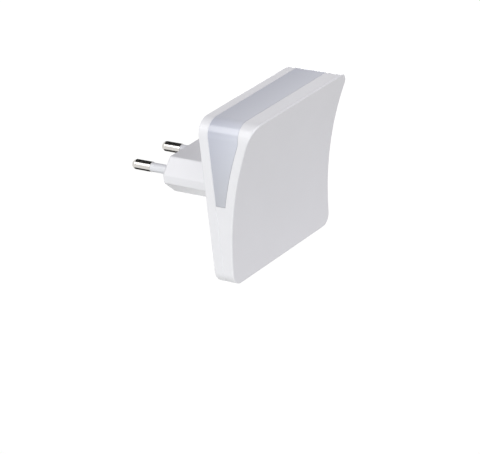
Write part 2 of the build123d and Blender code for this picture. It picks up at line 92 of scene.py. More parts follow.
# Gel in a lamp's window: its thickness as a share of the lamp's, how far back it lies and how far each
# ring sags as shares of its own thickness, and each ring's step in as a share of its width
GEL_THICKNESS = 0.25
GEL_BACK = 0.2
GEL_SAGS = (0.04, 0.1, 0.06)
GEL_RIM = 0.12

# Lamps in the upper row
UPPER_LAMPS = 4

# Solder on a leg: rings of its foot, and the clipped end as shares of the leg's radius
CREEP_STEPS = 6
CLIPPED_REACH = 1.2
CLIPPED_TIP = 0.7

# Solder blob on a pin's tail, its voxels as a share of the tail's radius
BLOB_VOXEL = 0.1
BLOB_SMOOTHING = 12

# Round capacitor, as shares of its radius, with the steps round its groove
GROOVE_DEPTH = 0.13
GROOVE_STEPS = 6
CAN_EDGE = 0.16
VENT_REACH = 0.6
VENT_DEPTH = 0.03

# Solder on the switch terminals, as shares of a joint's radius and of its own radius
TERMINAL_MOUND = 0.75
MOUND_STRETCH = 1.4
MOUND_CROWN = 0.125

# Half of the fusible resistor's outline: way along it and radius, as shares of its length and radius
BARREL_BELL = (
    (0, 0.5),
    (0.01, 0.74),
    (0.03, 0.9),
    (0.06, 0.98),
    (0.1, 1),
    (0.19, 1),
    (0.24, 0.94),
    (0.29, 0.88),
)

# Steps round the bend in each of its legs
BEND_STEPS = 8

# Printed rings of the fusible resistor, in millimetres from its middle
BAND_PLACES = (-3.4, -1.7, 0, 3.4)
BAND_HALF = 0.35

# Stripe on the round capacitor's sleeve, as angles round it from +X
STRIPE_AT = 0.0
STRIPE_HALF = radians(24)

# Tracks on the board's front, in millimetres from its middle line and from the pins' height
TRACKS = (
    ((-10, 22.8), (-6, 22.8)),
    ((-2, 22.8), (2, 22.8)),
    ((6, 22.8), (10, 22.8)),
    ((-13.6, 22.8), (-15, 25), (-24.8, 25), (-24.8, 14.6)),
    ((13.6, 22.8), (15, 25), (24.8, 25), (24.8, 14.6)),
    ((-8.8, 18), (-10.6, 16), (-22.3, 12.8)),
    ((-6.2, 18), (-3.8, 18)),
    ((3.8, 18), (6.2, 18)),
    ((-1.2, 18), (1.2, 18)),
    ((-9.3, 1.9), (-12, 0), (-12, -14), (0, -21.5)),
    ((-3, -21), (-14, -16), (-14, 8), (-6.1, 10.5)),
    ((6.1, 10.5), (6.1, 7), (1.2, 3.5), (-1.6, -2)),
    ((-1.2, 3.5), (-4.5, 1), (-9.1, -2), (-9.1, -6.7), (-3.4, -6.7)),
    ((-3.4, -9.3), (-3.4, -12), (11, -12), (14, -9), (14, 1.9), (9.3, 1.9)),
    ((3.4, -6.7), (3.8, -1), (3.8, 2.2), (8.6, 6), (8.6, 18)),
    ((3.4, -9.3), (6.2, -8), (6.2, 2), (9.3, 4.6), (13, 8), (22.3, 12.8)),
)

# Soft lamps: name, direction and distance from the housing's middle, the panel's two sides, and what
# its long side follows, with distances and sides in metres
HOUSING_MIDDLE = Vector((0, -0.035, 0))
LAMPS = (
    ("key", (-0.565, 0.582, 0.585), 0.7, (0.11, 0.4), (1, 0, 1)),
    ("side", (-0.98, -0.15, -0.1), 0.8, (0.5, 0.5), (0, 0, 1)),
    ("front", (0.2, -0.95, -0.1), 1.0, (0.6, 0.6), (0, 0, 1)),
    ("fill", (-0.35, -0.65, 0.67), 1.0, (0.6, 0.6), (0, 0, 1)),
    ("back", (0.87, 0.48, -0.08), 1.0, (0.6, 0.6), (0, 0, 1)),
)

# Two curved black cards round the pins, one from the right over the top and one below: their sizes in
# metres, and each one's first and last angle
CARD_RADIUS = 0.14
CARD_START = 0.092
CARD_WIDTH = 0.06
CARD_SIDES = 72
CARD_ARCS = ((radians(-36), radians(112)), (radians(226), radians(292)))


# Properties


def linear(code):
    """Linear RGB of an sRGB hex colour such as #EDEDF1."""
    parts = [int(code[i : i + 2], 16) / 255 for i in (1, 3, 5)]
    return [p / 12.92 if p <= 0.04045 else ((p + 0.055) / 1.055) ** 2.4 for p in parts]


def in_hex(name, description, code):
    """Colour property whose default is an sRGB hex colour."""
    return FloatVectorProperty(
        name=name, description=description, subtype="COLOR", size=3, min=0, max=1, default=linear(code)
    )


def in_mm(name, description, value):
    """Length property whose default is given in millimetres."""
    return FloatProperty(
        name=name, description=description, subtype="DISTANCE", unit="LENGTH", default=value * MM
    )


def in_degrees(name, description, value):
    """Angle property whose default is given in degrees."""
    return FloatProperty(name=name, description=description, subtype="ANGLE", default=radians(value))


def in_watts(name, description, value):
    """Power property whose default is given in watts."""
    return FloatProperty(name=name, description=description, unit="POWER", min=0, default=value)


def strength(name, description, value):
    """Property for a strength of light, where 1 shows as white."""
    return FloatProperty(name=name, description=description, min=0, default=value)


# Nodes


def add(tree, kind, inputs=None, **settings):
    """Add a node, with its settings and with its inputs set to values or linked to sockets."""
    node = tree.nodes.new(kind)
    for name, value in settings.items():
        setattr(node, name, value)
    for key, value in (inputs or {}).items():
        if isinstance(value, NodeSocket):
            tree.links.new(value, node.inputs[key])
        else:
            node.inputs[key].default_value = value
    return node


def new_material(name):
    """Empty node material and its tree."""
    material = bpy.data.materials.new(name)
    material.use_nodes = True
    material.node_tree.nodes.clear()
    return material, material.node_tree


def rgba(rgb):
    """Colour with an alpha of 1."""
    return (*rgb, 1.0)


def shade(rgb, factor):
    """Colour made darker by a factor."""
    return [part * factor for part in rgb]


def grain(tree, size, detail=2.0):
    """Noise on the piece whose lumps are about size metres across, from 0 to 1."""
    place = add(tree, "ShaderNodeTexCoord").outputs["Object"]
    inputs = {"Vector": place, "Scale": 1 / size, "Detail": detail}
    return add(tree, "ShaderNodeTexNoise", inputs).outputs["Fac"]


def uneven(tree, size, low, high, detail=2.0):
    """Value that wanders between low and high in lumps about size metres across."""
    noise = grain(tree, size, detail)
    inputs = {"Value": noise, "From Min": 0.3, "From Max": 0.7, "To Min": low, "To Max": high}
    return add(tree, "ShaderNodeMapRange", inputs).outputs["Result"]


def clouded(tree, size, base, darkest, detail=2.0):
    """Colour between base and base darkened by a factor, in lumps about size metres across."""
    share = uneven(tree, size, 0, 1, detail)
    inputs = {0: share, 6: rgba(shade(base, darkest)), 7: rgba(base)}
    return add(tree, "ShaderNodeMix", inputs, data_type="RGBA").outputs[2]


def relief(tree, size, height, share, detail=2.0):
    """Relief of lumps about size metres across and height metres tall, of which a share shows."""
    inputs = {"Height": grain(tree, size, detail), "Distance": height, "Strength": share}
    return add(tree, "ShaderNodeBump", inputs).outputs["Normal"]


def place_along(tree, axis):
    """Place along one axis of the frame, in metres."""
    place = add(tree, "ShaderNodeTexCoord").outputs["Object"]
    return add(tree, "ShaderNodeSeparateXYZ", {"Vector": place}).outputs[axis]


def finished(material, inputs):
    """Add the material's shader, with its inputs, and its output."""
    tree = material.node_tree
    shader = add(tree, "ShaderNodeBsdfPrincipled", inputs)
    add(tree, "ShaderNodeOutputMaterial", {"Surface": shader.outputs["BSDF"]})
    return material


# Modelling


def only(piece):
    """Make this the one selected and active object."""
    bpy.ops.object.select_all(action="DESELECT")
    piece.select_set(True)
    bpy.context.view_layer.objects.active = piece


def start(primitive, name, **settings):
    """Add a primitive and put its place and turn into its mesh."""
    bpy.ops.object.select_all(action="DESELECT")
    primitive(**settings)
    piece = bpy.context.object
    piece.name = name
    piece.data.name = name
    bpy.ops.object.transform_apply()
    return piece


def edit(piece):
    """Open a piece for editing with all of it selected."""
    only(piece)
    bpy.ops.object.mode_set(mode="EDIT")
    bpy.ops.mesh.select_all(action="SELECT")


def close():
    """Merge what meets, turn the faces outwards and leave edit mode."""
    bpy.ops.mesh.select_all(action="SELECT")
    bpy.ops.mesh.remove_doubles(threshold=MERGE)
    bpy.ops.mesh.normals_make_consistent(inside=False)
    bpy.ops.object.mode_set(mode="OBJECT")


def select(piece, wanted):
    """In edit mode, select only the vertices whose place passes the test wanted."""
    bpy.ops.mesh.select_all(action="DESELECT")
    mesh = bmesh.from_edit_mesh(piece.data)
    for vertex in mesh.verts:
        vertex.select_set(bool(wanted(vertex.co)))
    mesh.select_flush(True)
    bmesh.update_edit_mesh(piece.data)


def extrude(*way):
    """Draw what is selected out by way."""
    bpy.ops.mesh.extrude_region_move(TRANSFORM_OT_translate={"value": way})


def apply_modifier(piece, kind, **settings):
    """Add a modifier with its settings and apply it."""
    only(piece)
    modifier = piece.modifiers.new(kind.lower(), kind)
    for name, value in settings.items():
        setattr(modifier, name, value)
    bpy.ops.object.modifier_apply(modifier=modifier.name)


def combine(piece, other, operation):
    """Boolean of a piece with another, which is used up."""
    apply_modifier(piece, "BOOLEAN", object=other, operation=operation, solver="EXACT")
    bpy.data.objects.remove(other)


def turned(name, foot, along, profile, sides=40, fill="NGON"):
    """Round piece, drawn out ring by ring from foot; profile lists (way along, radius) pairs."""
    reach, radius = profile[0]
    along = Vector(along)
    piece = start(
        bpy.ops.mesh.primitive_circle_add,
        name,
        vertices=sides,
        radius=radius,
        fill_type=fill,
        location=Vector(foot) + reach * along,
        rotation=along.to_track_quat("Z", "Y").to_euler(),
    )
    edit(piece)
    for next_reach, next_radius in profile[1:]:
        extrude(*((next_reach - reach) * along))
        growth = next_radius / radius
        centre = Vector(foot) + next_reach * along
        scale = [1 + (growth - 1) * (1 - abs(part)) for part in along]
        bpy.ops.transform.resize(value=scale, center_override=centre)
        reach, radius = next_reach, next_radius
    close()
    return piece


def dome(base, top, rim, crown, steps=6):
    """Profile points of a quarter round, from the rim's radius at base to the crown's at top."""
    return [
        (base + (top - base) * sin(pi / 2 * i / steps), crown + (rim - crown) * cos(pi / 2 * i / steps))
        for i in range(1, steps + 1)
    ]


def block(name, place, size):
    """Plain block, to be shaped or joined."""
    return start(bpy.ops.mesh.primitive_cube_add, name, size=1, location=place, scale=size)


def copies(piece, places, half_turn=""):
    """Copies of a piece made at the origin, each turned half round an axis and moved. The piece goes."""
    made = []
    for place in places:
        only(piece)
        bpy.ops.object.duplicate()
        if half_turn:
            bpy.ops.transform.rotate(value=pi, orient_axis=half_turn, center_override=(0, 0, 0))
        bpy.ops.transform.translate(value=place)
        bpy.ops.object.transform_apply()
        made.append(bpy.context.object)
    bpy.data.objects.remove(piece)
    return made


def joined(pieces):
    """Make several pieces one."""
    only(pieces[0])
    for piece in pieces:
        piece.select_set(True)
    bpy.ops.object.join()
    return pieces[0]


def middle(node):
    """Middle of a node's box."""
    low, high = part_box(node)
    return (low + high) / 2


def mount(name, pieces, material, replaced=()):
    """Name, shade and finish pieces of the housing and let them stand for the nodes named."""
    for count, piece in enumerate(pieces, 1):
        piece.name = f"{name}_{count}" if len(pieces) > 1 else name
        piece.data.name = piece.name
        only(piece)
        bpy.ops.object.shade_smooth_by_angle(angle=SMOOTH_UP_TO)
        piece.data.materials.clear()
        piece.data.materials.append(material)
        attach(piece, "housing")
        if replaced:
            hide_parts(*replaced)


def set_finish(node, material):
    """Give a CAD node its material."""
    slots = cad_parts[node].data.materials
    slots.clear()
    slots.append(material)


# Small parts


def piece_middle(piece):
    """Middle of a piece's box."""
    corners = [Vector(corner) for corner in piece.bound_box]
    return sum(corners, Vector()) / len(corners)


def thread(core, crest, length):
    """Rolled ridge that winds round the Y axis towards -Y. Its foot is sunk in the core."""
    foot = core * THREAD_FOOT
    pitch = crest * THREAD_PITCH
    piece = start(
        bpy.ops.mesh.primitive_plane_add, "thread", size=1, location=((foot + crest) / 2, -pitch, 0)
    )
    edit(piece)
    size = (crest - foot, THREAD_BASE * pitch, 1)
    bpy.ops.transform.resize(value=size, center_override=piece_middle(piece))
    select(piece, lambda place: place.x > core)
    bpy.ops.transform.resize(value=(1, THREAD_CREST, 1), center_override=(crest, -pitch, 0))
    bpy.ops.object.mode_set(mode="OBJECT")
    apply_modifier(
        piece,
        "SCREW",
        axis="Y",
        screw_offset=-pitch,
        iterations=int(length / pitch) - TURNS_LEFT_OFF,
        steps=THREAD_STEPS,
        render_steps=THREAD_STEPS,
    )
    edit(piece)
    bpy.ops.mesh.fill_holes(sides=4)
    close()
    return piece


def cross(top, reach, width, depth, taper):
    """Cross-shaped punch that points to -Y from just above top and narrows to its end by taper."""
    half = width / 2
    above = depth * PUNCH_ABOVE
    piece = start(
        bpy.ops.mesh.primitive_plane_add,
        "cross",
        size=width,
        location=(0, top + above, 0),
        rotation=(pi / 2, 0, 0),
    )
    edit(piece)
    for way in (Vector((1, 0, 0)), Vector((-1, 0, 0)), Vector((0, 0, 1)), Vector((0, 0, -1))):
        select(piece, lambda place: place.dot(way) > half / 2 and place.xz.length < width)
        extrude(*((reach - half) * way))
    bpy.ops.mesh.select_all(action="SELECT")
    extrude(0, -depth - above, 0)
    bpy.ops.transform.resize(value=(taper, 1, taper), center_override=(0, top - depth, 0))
    close()
    return piece


def screw(head_radius, head_height, shank, length):
    """Pan-head screw with a tapered cross and a thread. It sits on the origin and points to -Y."""
    core = shank * THREAD_CORE
    rim = head_height * PAN_RIM
    profile = [
        (-length, core * SCREW_TIP),
        (-length + shank, core),
        (0, core),
        (0, head_radius),
        (rim, head_radius),
        *dome(rim, head_height, head_radius, head_radius * PAN_CROWN),
    ]
    piece = turned("screw", (0, 0, 0), (0, 1, 0), profile)
    combine(piece, thread(core, shank, length), "UNION")
    reach = head_radius * CROSS_REACH
    width = head_radius * CROSS_WIDTH
    combine(piece, cross(head_height, reach, width, head_height * CROSS_DEPTH, CROSS_TAPER), "DIFFERENCE")
    return piece


def screw_pair(node, head_radius, head_height, shank, half_turn=""):
    """Two like screws that fill a node's box. Their heads are at its back, or after a half turn at its
    front."""
    low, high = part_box(node)
    piece = screw(head_radius, head_height, shank, high.y - low.y - head_height)
    side = high.x - head_radius
    seat = low.y + head_height if half_turn else high.y - head_height
    return copies(piece, [(x, seat, middle(node).z) for x in (-side, side)], half_turn)


def gel(width, height, thickness):
    """Clear gel in a lamp's window, with a front that sags a little. It lies behind the origin."""
    piece = block("gel", (0, thickness / 2, 0), (width, thickness, height))
    edit(piece)
    select(piece, lambda place: place.y < thickness / 2)
    for sag in GEL_SAGS:
        bpy.ops.mesh.inset(thickness=width * GEL_RIM, depth=-thickness * sag)
    close()
    return piece


def joint(radius, height, leg):
    """Solder that has crept up a clipped leg. It stands on the origin towards -Y."""
    shares = [i / CREEP_STEPS for i in range(CREEP_STEPS + 1)]
    crept = [(height * share, leg + (radius - leg) * (1 - share) ** 2) for share in shares]
    clipped = [(height + leg, leg), (height + CLIPPED_REACH * leg, leg * CLIPPED_TIP)]
    return turned("joint", (0, 0, 0), (0, -1, 0), crept + clipped, sides=24)


def mound(radius, height):
    """Low oval mound of solder on the origin towards +Y, longer along Z."""
    profile = [(0, radius), *dome(0, height, radius, radius * MOUND_CROWN)]
    piece = turned("mound", (0, 0, 0), (0, 1, 0), profile, sides=24)
    edit(piece)
    bpy.ops.transform.resize(value=(1, 1, MOUND_STRETCH), center_override=(0, 0, 0))
    close()
    return piece


def tail_joint(tail, lead, rise, near, far):
    """Solder round a pin's tail and the stripped wire above it, along the Y axis from near to far."""
    piece = turned("tail_joint", (0, near, 0), (0, -1, 0), [(0, tail), (near - far, tail)])
    wire = turned("wire", (0, near, rise), (0, -1, 0), [(0, lead), (near - far, lead)])
    combine(piece, wire, "UNION")
    web = block("web", (0, (near + far) / 2, rise / 2), (2 * lead, near - far, rise))
    combine(piece, web, "UNION")
    apply_modifier(piece, "REMESH", mode="VOXEL", voxel_size=tail * BLOB_VOXEL)
    apply_modifier(piece, "SMOOTH", factor=0.5, iterations=BLOB_SMOOTHING)
    return piece


def can_side(radius, length, groove):
    """Profile points of a can's side: a round-bottomed groove and a soft edge at its far end."""
    depth = radius * GROOVE_DEPTH
    edge = radius * CAN_EDGE
    turns = [pi * i / GROOVE_STEPS for i in range(GROOVE_STEPS + 1)]
    rolled = [(groove - depth * cos(turn), radius - depth * sin(turn)) for turn in turns]
    return [*rolled, (length - edge, radius), *dome(length - edge, length, radius, radius - edge)]


def can(radius, length, groove, vent):
    """Drawn can on the origin towards +Y, with a scored cross of vent's width on its end."""
    depth = radius * GROOVE_DEPTH
    profile = [(0, radius - depth), (depth / 2, radius), *can_side(radius, length, groove)]
    piece = turned("can", (0, 0, 0), (0, 1, 0), profile)
    combine(piece, cross(length, radius * VENT_REACH, vent, radius * VENT_DEPTH, 1), "DIFFERENCE")
    return piece


def can_sleeve(radius, length, groove, wall, lip):
    """Shrunk plastic sleeve that follows the can and folds over its end."""
    end = radius - max(lip, radius * CAN_EDGE + wall)
    profile = [(wall, radius), *can_side(radius, length, groove), (length, end)]
    piece = turned("can_sleeve", (0, 0, 0), (0, 1, 0), profile, fill="NOTHING")
    apply_modifier(piece, "SOLIDIFY", thickness=wall, offset=-1)
    return piece


def barrel(radius, length):
    """Resistor body along the X axis: end bells where the caps are and a slimmer middle."""
    half = [(share * length, swell * radius) for share, swell in BARREL_BELL]
    whole = half + [(length - way, size) for way, size in reversed(half)]
    return turned("barrel", (-length / 2, 0, 0), (1, 0, 0), whole)


def bent_leg(start_x, bend_x, radius, bend, drop):
    """Wire along +X that turns to +Y in a round bend and ends drop away from its axis."""
    corner = bend_x - bend
    straight = [(0, radius), (corner - start_x, radius)]
    leg = turned("leg", (start_x, 0, 0), (1, 0, 0), straight, sides=20)
    edit(leg)
    select(leg, lambda place: place.x > corner - radius / 2)
    bpy.ops.mesh.spin(steps=BEND_STEPS, angle=-pi / 2, center=(corner, bend, 0), axis=(0, 0, 1))
    extrude(0, drop - bend, 0)
    close()
    return leg


def track(points, width, height):
    """Low rounded ridge along points on the board's front."""
    piece = start(bpy.ops.mesh.primitive_plane_add, "track", size=width, location=points[0])
    edit(piece)
    bpy.ops.mesh.merge(type="CENTER")
    for point, next_point in zip(points, points[1:]):
        extrude(*(next_point - point))
    bpy.ops.object.mode_set(mode="OBJECT")
    bpy.ops.object.convert(target="CURVE")
    piece = bpy.context.object
    piece.data.bevel_depth = width / 2
    piece.data.bevel_resolution = 1
    piece.data.use_fill_caps = True
    bpy.ops.object.convert(target="MESH")
    piece = bpy.context.object
    edit(piece)
    bpy.ops.transform.resize(value=(1, 2 * height / width, 1), center_override=points[0])
    close()
    return piece


# Materials


def moulded_abs(name, base):
    """ABS from a spark-eroded mould: near white, satin, with a grain that is felt more than seen."""
    material, tree = new_material(name)
    inputs = {
        "Base Color": clouded(tree, 18 * MM, base, 0.985),
        "Roughness": uneven(tree, 18 * MM, 0.19, 0.25),
        "Normal": relief(tree, 0.3 * MM, 0.003 * MM, 0.5),
        "IOR": 1.53,
    }
    return finished(material, inputs)


def opal_polycarbonate(name, shaded, lit, ends):
    """Polycarbonate with a white pigment that scatters light inside it: milky, cool, glossy outside.
    Its colour is painted paler towards its front edge, as painted light where the white cover shines
    through from behind, and painted darker towards its lower ends, as painted shade where less white
    lies behind it."""
    material, tree = new_material(name)
    low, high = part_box("diffuser")
    # Painted light: the colour turns paler towards the front, for the white cover's light shining through
    reach = {"Value": place_along(tree, "Y"), "From Min": high.y, "From Max": low.y}
    towards_front = add(tree, "ShaderNodeMapRange", reach).outputs["Result"]
    fade_start = high.z - (high.z - low.z) / 4
    # Painted shade: the colour turns darker towards the lower ends
    drop = {"Value": place_along(tree, "Z"), "From Min": fade_start, "From Max": low.z}
    towards_ends = add(tree, "ShaderNodeMapRange", drop).outputs["Result"]
    shades = {0: towards_front, 6: rgba(shaded), 7: rgba(lit)}
    body = add(tree, "ShaderNodeMix", shades, data_type="RGBA").outputs[2]
    layers = {0: towards_ends, 6: body, 7: rgba(ends)}
    ends_shaded = add(tree, "ShaderNodeMix", layers, data_type="RGBA", blend_type="MULTIPLY")
    inputs = {
        "Base Color": ends_shaded.outputs[2],
        "Roughness": uneven(tree, 12 * MM, 0.09, 0.13),
        "Subsurface Weight": 0.15,
        "Subsurface Radius": (1.0, 1.0, 1.1),
        "Subsurface Scale": 0.6 * MM,
        "IOR": 1.58,
    }
    return finished(material, inputs)


def plated_brass(name, base):
    """Turned brass pin with bright nickel plating: faint turning rings still show under the plating.
    Real rings are about 0.2 mm apart. They are drawn coarser, so that they show."""
    material, tree = new_material(name)
    ring_pitch = 2.2 * MM
    radians_per_unit = 20
    waves = {
        "Vector": add(tree, "ShaderNodeTexCoord").outputs["Object"],
        "Scale": 2 * pi / (radians_per_unit * ring_pitch),
        "Distortion": 0.4,
    }
    rings = add(tree, "ShaderNodeTexWave", waves, wave_type="BANDS", bands_direction="Y").outputs["Fac"]
    ridges = {"Height": rings, "Distance": 0.002 * MM, "Strength": 0.5}
    plating = {0: grain(tree, 4 * MM), 6: rgba(shade(base, 0.93)), 7: rgba(base)}
    inputs = {
        "Base Color": add(tree, "ShaderNodeMix", plating, data_type="RGBA").outputs[2],
        "Metallic": 1.0,
        "Roughness": uneven(tree, 2 * MM, 0.10, 0.16),
        "Normal": add(tree, "ShaderNodeBump", ridges).outputs["Normal"],
    }
    return finished(material, inputs)


def smooth_plastic(name, base, roughness):
    """Plain moulded or extruded plastic with a slightly uneven gloss."""
    material, tree = new_material(name)
    inputs = {
        "Base Color": clouded(tree, 3 * MM, base, 0.94),
        "Roughness": uneven(tree, 3 * MM, roughness * 0.85, roughness * 1.15),
        "Normal": relief(tree, 0.4 * MM, 0.003 * MM, 0.4),
        "IOR": 1.5,
    }
    return finished(material, inputs)


def sheet_metal(name, base, roughness):
    """Rolled or drawn metal: streaks 0.2 mm wide and a dozen times as long, up the piece."""
    material, tree = new_material(name)
    place = add(tree, "ShaderNodeTexCoord").outputs["Object"]
    drawn = add(tree, "ShaderNodeMapping", {"Vector": place, "Scale": (1.0, 1.0, 0.08)}).outputs["Vector"]
    streaks = add(tree, "ShaderNodeTexNoise", {"Vector": drawn, "Scale": 1 / (0.2 * MM)}).outputs["Fac"]
    tones = {0: streaks, 6: rgba(shade(base, 0.9)), 7: rgba(base)}
    gloss = {
        "Value": streaks,
        "From Min": 0.3,
        "From Max": 0.7,
        "To Min": roughness * 0.8,
        "To Max": roughness * 1.2,
    }
    ridges = {"Height": streaks, "Distance": 0.002 * MM, "Strength": 0.5}
    inputs = {
        "Base Color": add(tree, "ShaderNodeMix", tones, data_type="RGBA").outputs[2],
        "Metallic": 1.0,
        "Roughness": add(tree, "ShaderNodeMapRange", gloss).outputs["Result"],
        "Normal": add(tree, "ShaderNodeBump", ridges).outputs["Normal"],
    }
    return finished(material, inputs)


def from_middle(tree, pitch):
    """Place along X, counted from the middle line, or with a pitch from the nearest of a row's pieces."""
    x = place_along(tree, "X")
    if not pitch:
        return x
    moved = add(tree, "ShaderNodeMath", {0: x, 1: pitch / 2}, operation="SUBTRACT")
    row = {0: moved.outputs[0], 1: pitch / 2, 2: -pitch / 2}
    return add(tree, "ShaderNodeMath", row, operation="WRAP").outputs[0]


def capped(name, body, metal, half, roughness, pitch=0):
    """Dull body up to half from its middle, and tinned ends beyond. A row of them repeats by pitch."""
    material, tree = new_material(name)
    span = {0: from_middle(tree, pitch), 1: 0, 2: half}
    inside = add(tree, "ShaderNodeMath", span, operation="COMPARE").outputs[0]
    metal_look = clouded(tree, 0.15 * MM, metal, 0.9, detail=3.0)
    body_look = clouded(tree, 0.15 * MM, body, 0.8, detail=3.0)
    mix = add(tree, "ShaderNodeMix", {0: inside, 6: metal_look, 7: body_look}, data_type="RGBA")
    outside = add(tree, "ShaderNodeMath", {0: 1, 1: inside}, operation="SUBTRACT").outputs[0]
    gloss = {"Value": inside, "To Min": 0.28, "To Max": roughness}
    inputs = {
        "Base Color": mix.outputs[2],
        "Metallic": outside,
        "Roughness": add(tree, "ShaderNodeMapRange", gloss).outputs["Result"],
        "Normal": relief(tree, 0.2 * MM, 0.006 * MM, 0.6, detail=3.0),
    }
    return finished(material, inputs)


def striped_sleeve(name, base, stripe, foot):
    """Shrunk PVC film round a can: smooth, with one pale stripe down the side of the minus leg."""
    material, tree = new_material(name)
    place = add(tree, "ShaderNodeTexCoord").outputs["Object"]
    moved = add(tree, "ShaderNodeVectorMath", {0: place, 1: foot}, operation="SUBTRACT").outputs[0]
    parts = add(tree, "ShaderNodeSeparateXYZ", {"Vector": moved}).outputs
    turn = add(tree, "ShaderNodeMath", {0: parts["Z"], 1: parts["X"]}, operation="ARCTAN2").outputs[0]
    span = {0: turn, 1: STRIPE_AT, 2: STRIPE_HALF}
    on_stripe = add(tree, "ShaderNodeMath", span, operation="COMPARE").outputs[0]
    colours = {0: on_stripe, 6: rgba(base), 7: rgba(stripe)}
    inputs = {
        "Base Color": add(tree, "ShaderNodeMix", colours, data_type="RGBA").outputs[2],
        "Roughness": uneven(tree, 1.5 * MM, 0.26, 0.34),
        "Normal": relief(tree, 0.8 * MM, 0.01 * MM, 0.4),
    }
    return finished(material, inputs)


def banded_lacquer(name, look):
    """Fired lacquer on a ceramic rod, with printed rings for its value. The lacquer softens every edge."""
    material, tree = new_material(name)
    x = place_along(tree, "X")
    skin = clouded(tree, 1.2 * MM, look.lacquer, 0.92)
    for centre, ring in zip(BAND_PLACES, (look.band_1, look.band_2, look.band_3, look.band_4)):
        span = {0: x, 1: centre * MM, 2: BAND_HALF * MM}
        on_ring = add(tree, "ShaderNodeMath", span, operation="COMPARE").outputs[0]
        layers = {0: on_ring, 6: skin, 7: rgba(ring)}
        skin = add(tree, "ShaderNodeMix", layers, data_type="RGBA").outputs[2]
    inputs = {
        "Base Color": skin,
        "Roughness": uneven(tree, 0.7 * MM, 0.26, 0.36),
        "Normal": relief(tree, 0.6 * MM, 0.015 * MM, 0.5),
        "Coat Weight": 0.3,
        "Coat Roughness": 0.1,
    }
    return finished(material, inputs)


def solder_mask(name, base, laminate):
    """White solder mask over a glass-fibre board: satin on both faces, with a faint weave beneath.
    On the cut edges the yellowish laminate shows."""
    material, tree = new_material(name)
    normal = add(tree, "ShaderNodeNewGeometry").outputs["True Normal"]
    facing = add(tree, "ShaderNodeSeparateXYZ", {"Vector": normal}).outputs["Y"]
    on_edge = add(tree, "ShaderNodeMath", {0: facing, 1: 0, 2: 0.5}, operation="COMPARE").outputs[0]
    colours = {0: on_edge, 6: clouded(tree, 6 * MM, base, 0.97), 7: rgba(laminate)}
    place = add(tree, "ShaderNodeTexCoord").outputs["Object"]
    weave = add(tree, "ShaderNodeTexChecker", {"Vector": place, "Scale": 1 / (0.5 * MM)}).outputs["Fac"]
    ridges = {"Height": weave, "Distance": 0.003 * MM, "Strength": 0.4}
    inputs = {
        "Base Color": add(tree, "ShaderNodeMix", colours, data_type="RGBA").outputs[2],
        "Roughness": uneven(tree, 1.5 * MM, 0.3, 0.42),
        "Normal": add(tree, "ShaderNodeBump", ridges).outputs["Normal"],
    }
    return finished(material, inputs)


def zinc_plate(name, base):
    """Turned steel with bright zinc: cool, clouded, with a slightly rough blue passivation."""
    material, tree = new_material(name)
    inputs = {
        "Base Color": clouded(tree, 0.9 * MM, base, 0.86, detail=4.0),
        "Metallic": 1.0,
        "Roughness": uneven(tree, 0.9 * MM, 0.24, 0.38, detail=4.0),
        "Normal": relief(tree, 0.25 * MM, 0.004 * MM, 0.6),
    }
    return finished(material, inputs)


def solder_tin(name, base):
    """Lead-free solder that has set: bright, with dull frosted patches."""
    material, tree = new_material(name)
    inputs = {
        "Base Color": clouded(tree, 0.6 * MM, base, 0.88, detail=3.0),
        "Metallic": 1.0,
        "Roughness": uneven(tree, 0.6 * MM, 0.16, 0.42, detail=3.0),
        "Normal": relief(tree, 0.6 * MM, 0.01 * MM, 0.5, detail=3.0),
    }
    return finished(material, inputs)


def phosphor_gel(name, base):
    """Silicone filled with yellow phosphor: a clear wet skin over fine powder.
    The powder is a few thousandths of a millimetre and is drawn coarser, so that it shows."""
    material, tree = new_material(name)
    inputs = {
        "Base Color": clouded(tree, 0.12 * MM, base, 0.9, detail=1.0),
        "Roughness": uneven(tree, 0.8 * MM, 0.1, 0.16),
        "Coat Weight": 1.0,
        "Coat Roughness": 0.04,
        "Coat IOR": 1.41,
        "IOR": 1.41,
    }
    return finished(material, inputs)


# Stage


def seen_or_mirrored(tree):
    """1 for what the camera sees, also in a mirror or through glass, else 0."""
    path = add(tree, "ShaderNodeLightPath")
    seen = path.outputs["Is Camera Ray"]
    for ray in ("Is Glossy Ray", "Is Transmission Ray"):
        seen = add(tree, "ShaderNodeMath", {0: path.outputs[ray], 1: seen}, operation="MAXIMUM").outputs[0]
    return seen


def turned_to(direction, long_side):
    """Turn of a panel whose face looks back along direction and whose Y follows long_side."""
    outward = Vector(direction).normalized()
    across = Vector(long_side).cross(outward).normalized()
    return Matrix((across, outward.cross(across), outward)).transposed().to_euler()


def on_card(angle):
    """Whether an angle round the pins lies on one of the black cards."""
    return any((angle - first) % (2 * pi) <= last - first for first, last in CARD_ARCS)


# Settings


